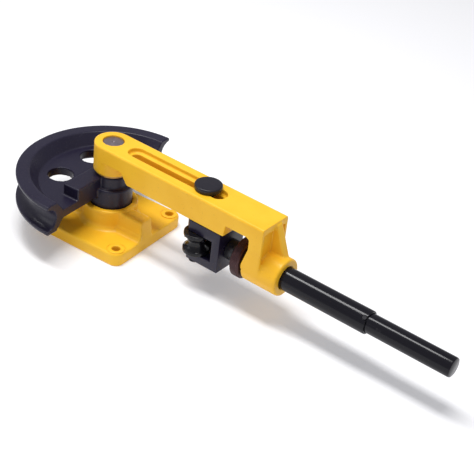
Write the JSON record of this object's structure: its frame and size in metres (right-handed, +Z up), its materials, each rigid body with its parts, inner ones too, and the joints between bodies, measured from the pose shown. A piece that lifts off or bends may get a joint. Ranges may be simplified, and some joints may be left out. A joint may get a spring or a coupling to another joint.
{
  "type": "manual bench tube and bar bender",
  "caption": "Hand-operated bench bender: grooved half-round former on a bolted base, slotted swing lever with sliding roller yoke, screw wheel and long handle.",
  "frame": {"origin": "on the pivot axis at the underside of the base", "axes": "+Z up along the pivot pin, +X along the lever to the handle, +Y to the rear of the lever"},
  "size_m": [0.5182, 0.1998, 0.1127],
  "materials": {
    "yellow_paint": "semi-gloss yellow enamel over cast iron, fine cast grain",
    "black_paint": "satin black enamel over cast iron",
    "black_oxide": "blackened turned steel",
    "brown_wheel": "dark red-brown browned steel, knurled rim",
    "bare_steel": "bare turned steel",
    "bronze": "plain bearing bronze",
    "black_plastic": "moulded black plastic"
  },
  "bodies": {
    "base": {"base_casting": "yellow_paint", "forming_die": "black_paint", "pivot_pin": "bare_steel", "die_key": "bare_steel", "thrust_washer": "bronze"},
    "lever": {"lever_arm": "yellow_paint", "arm_bush": "bronze", "handle_tube": "black_oxide", "tube_grub_screw": "black_oxide", "wheel_thrust_ring": "bare_steel"},
    "carriage": {"roller_yoke": "black_paint", "screw_lock_pin": "bare_steel", "pressure_screw": "black_oxide", "screw_collar": "black_oxide", "roller_pin_front": "bare_steel", "roller_pin_rear": "bare_steel", "roller_clip_front": "black_oxide", "roller_clip_rear": "black_oxide", "carriage_stud": "bare_steel", "slot_collar": "black_oxide"},
    "wheel": {"adjusting_wheel": "brown_wheel"},
    "knob": {"clamp_knob": "black_plastic"},
    "front_roller": {"roller_front": "black_paint", "roller_bush_front": "bronze"},
    "rear_roller": {"roller_rear": "black_paint", "roller_bush_rear": "bronze"},
    "extension": {"extension_bar": "black_oxide", "bar_cross_pin": "black_oxide"}
  },
  "joints": [
    {"name": "lever_swing", "type": "hinge", "parent": "base", "child": "lever", "pos_m": [0, 0, 0.0896], "axis": [0, 0, 1], "continuous": true},
    {"name": "carriage_slide", "type": "slide", "parent": "lever", "child": "carriage", "axis": [1, 0, 0], "range_m": [-0.0135, 0]},
    {"name": "wheel_turn", "type": "hinge", "parent": "lever", "child": "wheel", "pos_m": [0.182, 0, 0.0526], "axis": [1, 0, 0], "range_deg": [-1216, 1]},
    {"name": "knob_turn", "type": "hinge", "parent": "carriage", "child": "knob", "pos_m": [0.1273, 0, 0.11], "axis": [0, 0, 1], "continuous": true},
    {"name": "front_roller_turn", "type": "hinge", "parent": "carriage", "child": "front_roller", "pos_m": [0.1295, -0.014, 0.0526], "axis": [0, 0, 1], "continuous": true},
    {"name": "rear_roller_turn", "type": "hinge", "parent": "carriage", "child": "rear_roller", "pos_m": [0.1295, 0.014, 0.0526], "axis": [0, 0, 1], "continuous": true},
    {"name": "bar_slide", "type": "slide", "parent": "lever", "child": "extension", "axis": [1, 0, 0], "range_m": [0, 0.035]}
  ],
  "couplings": [
    {"joint": "wheel_turn", "follows": "carriage_slide", "rad_per_m": 1570.8}
  ]
}
